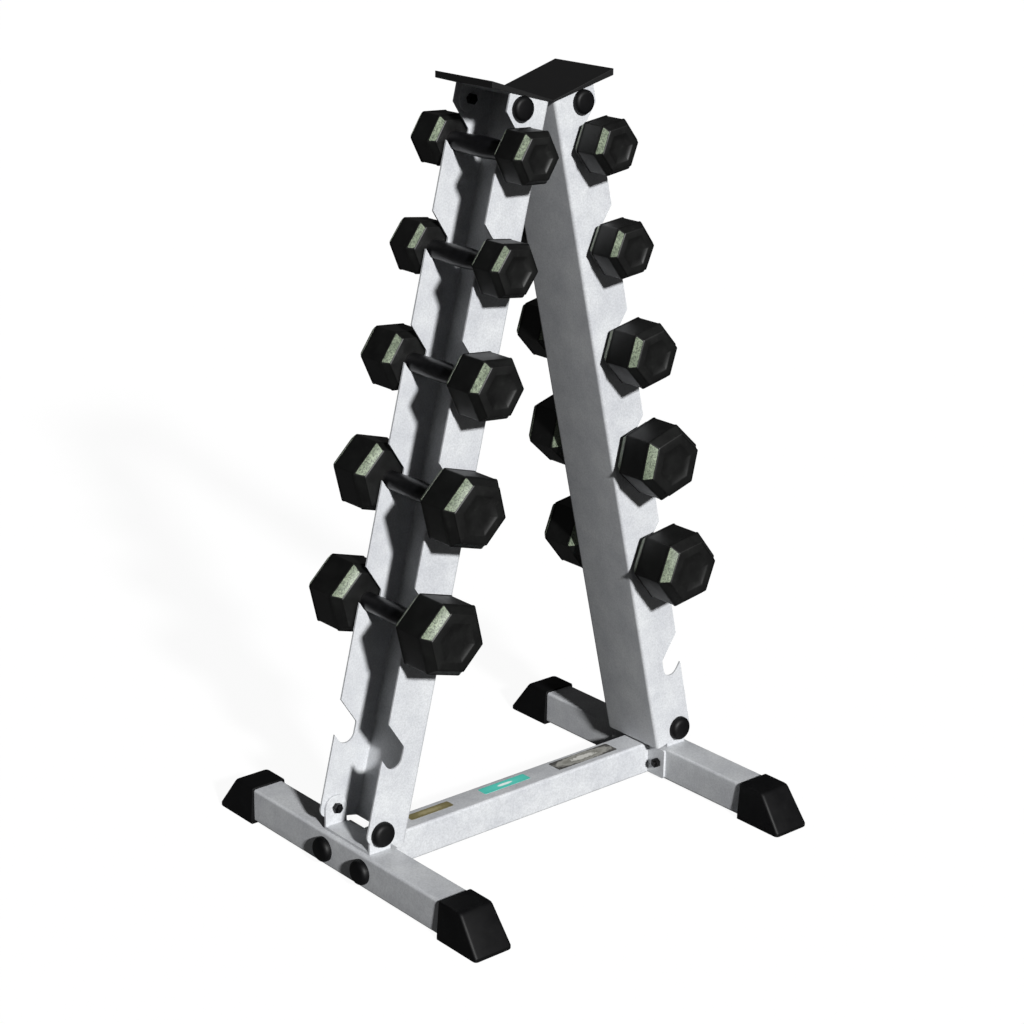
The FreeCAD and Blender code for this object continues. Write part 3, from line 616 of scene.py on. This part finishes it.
# %% Ease the edges of the CAD's sheet and tube
def eased_copy(node, name, material, width):
    """A merged copy of a CAD node's mesh with a narrow rounded bevel on its sharp edges."""
    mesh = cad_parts[node].data.copy()
    mesh.name = name
    work = bmesh.new()
    work.from_mesh(mesh)
    bmesh.ops.remove_doubles(work, verts=work.verts, dist=0.00002)
    bmesh.ops.dissolve_limit(work, angle_limit=math.radians(1.0), verts=work.verts,
                             edges=work.edges)
    work.to_mesh(mesh)
    work.free()
    mesh.materials.clear()
    mesh.materials.append(material)
    mesh.shade_smooth()
    mesh.set_sharp_from_angle(angle=math.radians(30))
    piece = bpy.data.objects.new(name, mesh)
    bpy.context.scene.collection.objects.link(piece)
    bevel = piece.modifiers.new("eased_edges", "BEVEL")
    bevel.width = width
    bevel.segments = 2
    bevel.limit_method = "ANGLE"
    bevel.angle_limit = math.radians(35)
    bevel.harden_normals = True
    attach(piece, "rack")
    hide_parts(node)
    return piece


SHEET_EDGE, TUBE_EDGE, FASTENER_EDGE = 0.6 * MM, 0.4 * MM, 0.35 * MM
SILVER_PARTS = (
    ("leg_channel", "notched_leg", SHEET_EDGE),
    ("foot_tube", "foot", TUBE_EDGE),
    ("foot_bracket", "foot_ears", SHEET_EDGE),
    ("top_bracket", "top_ears", SHEET_EDGE),
    ("crossbar_plate", "end_plate", SHEET_EDGE),
)
for side in SIDES:
    for node, name, width in SILVER_PARTS:
        eased_copy(f"{side}_{node}", f"{side}_{name}", SILVER, width)
    for kind in ("leg", "crossbar"):
        for item in ("bolts", "nuts"):
            eased_copy(f"{side}_{kind}_{item}", f"{side}_{kind}_hex_{item}", BLACK_OXIDE,
                       FASTENER_EDGE)
eased_copy("crossbar_tube", "crossbar", SILVER, TUBE_EDGE)
eased_copy("top_tray", "folded_tray", BLACK_COAT, SHEET_EDGE)
for side in SIDES:
    for level in LEVELS:
        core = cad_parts[f"{side}_dumbbell_{level}_iron_cores"]
        core.data.materials.clear()
        core.data.materials.append(CAST_IRON)
print("sheet, tube and fasteners eased")

# %% [markdown]
# ## Stickers on the crossbar
# Three small vinyl stickers lie on the crossbar's top: an olive-brown one, a sea-green one with a
# pale spot, and a grey one with a pale middle and dark corners. Each is a thin slab with rounded
# corners. Its print depends only on the distance from its centre, measured in half-widths, with a
# little wear noise added, so it holds plain shapes and no lettering.

# %% Build the stickers
def printed_vinyl(name, centre, half, stops, wear):
    """Vinyl whose colour is a ramp over sqrt((x/half_x)^2 + (y/half_y)^2), roughened by noise."""
    material, output, place = new_material(name)
    scaled = add_node(material, "ShaderNodeMapping", Vector=place,
                      Scale=(1 / (half[0] * MM), 1 / (half[1] * MM), 0.0),
                      Location=(-centre[0] / half[0], -centre[1] / half[1], 0.0))
    reach = add_node(material, "ShaderNodeVectorMath", {"operation": "LENGTH"},
                     i0=scaled.outputs[0])
    scuff = add_node(material, "ShaderNodeTexNoise", Vector=place, Scale=1 / (5 * MM), Detail=5.0)
    shift = add_node(material, "ShaderNodeMath", {"operation": "MULTIPLY_ADD"},
                     i0=scuff.outputs["Fac"], i1=wear, i2=-0.5 * wear)
    broken = add_node(material, "ShaderNodeMath", {"operation": "ADD"}, i0=reach.outputs["Value"],
                      i1=shift.outputs[0])
    halved = add_node(material, "ShaderNodeMath", {"operation": "MULTIPLY"}, i0=broken.outputs[0],
                      i1=0.5)
    colour = ramp(material, halved.outputs[0], [(at / 2, linear(ink)) for at, ink in stops])
    finish_surface(material, output, Base_Color=colour, Roughness=0.38, IOR=1.46)
    return material


def build_sticker(name, centre, half, stops, wear):
    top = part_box("crossbar_tube")[1][2] / MM
    wide, deep = half
    outline = [(-wide, -deep), (wide, -deep), (wide, deep), (-wide, deep)]
    ring = rounded_outline(outline, 2.5) + np.array(centre)
    rings = np.array([np.insert(ring, 2, top + h, axis=1) for h in (-0.05, 0.2)]) * MM
    material = printed_vinyl(f"{name}_printed_vinyl", centre, half, stops, wear)
    return make_piece(f"{name}_sticker", rings, skin_faces(2, len(ring)), material, "rack",
                      smooth_angle=30)


build_sticker("olive_brown", (-150, 4), (38, 8),
              ((0.3, "#9a916e"), (0.7, "#7b7350"), (1.3, "#6a6242")), 0.9)
build_sticker("sea_green", (-12, 4), (43, 9),
              ((0.28, "#eef7f4"), (0.36, "#5fcfbf"), (1.2, "#4fc0b0")), 0.25)
build_sticker("grey", (140, 2), (58, 13),
              ((0.34, "#c9c8c2"), (0.5, "#77766f"), (0.8, "#9c9b95"), (1.05, "#4a4947")), 0.7)
print("stickers built")

# %% [markdown]
# ## Floor, light and camera
# The studio is white all round. One hard lamp stands in front, a little to the left and above, so
# the front faces are the brightest and the faces that look left get about a quarter of their
# light. A dim sky fills the shade a little. The camera sees both the sky and the floor as white.

# %% Floor
def floor_finish():
    """White seamless paper: matt, with a faint fibre, and lit through so that it stays white.

    What the camera sees is the lit paper; the light that it throws back on the object is that of a
    grey floor, so that the shaded sides of the steel keep their depth.
    """
    material, output, place = new_material("white_studio_paper")
    fibre = add_node(material, "ShaderNodeTexNoise", Vector=place, Scale=1 / (6 * MM), Detail=2.0)
    colour = ramp(material, fibre.outputs["Fac"],
                  ((0.3, linear("#424242")), (0.7, linear("#464646"))))
    paper = add_node(material, "ShaderNodeBsdfPrincipled", Base_Color=colour, Roughness=0.95,
                     Emission_Color=(1, 1, 1, 1), Emission_Strength=0.95, Specular_IOR_Level=0.1)
    thrown = add_node(material, "ShaderNodeBsdfDiffuse", Color=grey(0.1))
    path = add_node(material, "ShaderNodeLightPath")
    add_node(material, "ShaderNodeMixShader", i0=path.outputs["Is Camera Ray"],
             i1=thrown.outputs[0], i2=paper.outputs[0])
    material.node_tree.links.new(material.node_tree.nodes[-1].outputs[0], output.inputs["Surface"])
    return material


FLOOR_HALF = 16.0
floor_mesh = bpy.data.meshes.new("studio_floor")
floor_corners = [(x * FLOOR_HALF, y * FLOOR_HALF, 0) for x, y in ((-1, -1), (1, -1), (1, 1), (-1, 1))]
floor_mesh.from_pydata(floor_corners, [], [(0, 1, 2, 3)])
floor_mesh.materials.append(floor_finish())
floor = bpy.data.objects.new("studio_floor", floor_mesh)
bpy.context.scene.collection.objects.link(floor)

# %% Lights
KEY_STRENGTH = 5.86
KEY_SPREAD = 4                      # degrees: wide enough to soften the shadows' edges
KEY_DIRECTION = (0.22, 0.794, -0.4)
FILL_STRENGTH = 0.045

sun = bpy.data.lights.new("key_lamp", "SUN")
sun.energy = KEY_STRENGTH
sun.angle = math.radians(KEY_SPREAD)
key = bpy.data.objects.new("key_lamp", sun)
bpy.context.scene.collection.objects.link(key)
key.rotation_euler = Vector(KEY_DIRECTION).to_track_quat("-Z", "Y").to_euler()

world = bpy.data.worlds.new("studio_air")
world.use_nodes = True
sky = world.node_tree.nodes["Background"]
sky.inputs["Color"].default_value = (1.0, 1.0, 1.0, 1.0)
path = add_node(world, "ShaderNodeLightPath")
dimmed = add_node(world, "ShaderNodeMapRange", Value=path.outputs["Is Camera Ray"])
dimmed.inputs["To Min"].default_value = FILL_STRENGTH
dimmed.inputs["To Max"].default_value = 1.0
world.node_tree.links.new(dimmed.outputs["Result"], sky.inputs["Strength"])
bpy.context.scene.world = world
bpy.context.scene.view_settings.view_transform = "Standard"

# %% Camera
CAMERA_PLACE = Vector((-1.962, -2.262, 1.493))
YAW, PITCH, ROLL = (math.radians(a) for a in (40.8, 18.9, 0.97))
ahead = Vector((math.cos(PITCH) * math.sin(YAW), math.cos(PITCH) * math.cos(YAW), -math.sin(PITCH)))
level_right = Vector((math.cos(YAW), -math.sin(YAW), 0))
level_up = level_right.cross(ahead)
right = level_right * math.cos(ROLL) + level_up * math.sin(ROLL)
up = level_up * math.cos(ROLL) - level_right * math.sin(ROLL)
lens = bpy.data.cameras.new("camera")
lens.lens = 79.99
lens.sensor_width = 36.0
lens.clip_end = 100.0
camera = bpy.data.objects.new("camera", lens)
turn = Matrix((right, up, -ahead)).transposed().to_4x4()
camera.matrix_world = Matrix.Translation(CAMERA_PLACE) @ turn
bpy.context.scene.collection.objects.link(camera)
bpy.context.scene.camera = camera
print("camera at", tuple(round(c, 3) for c in CAMERA_PLACE))
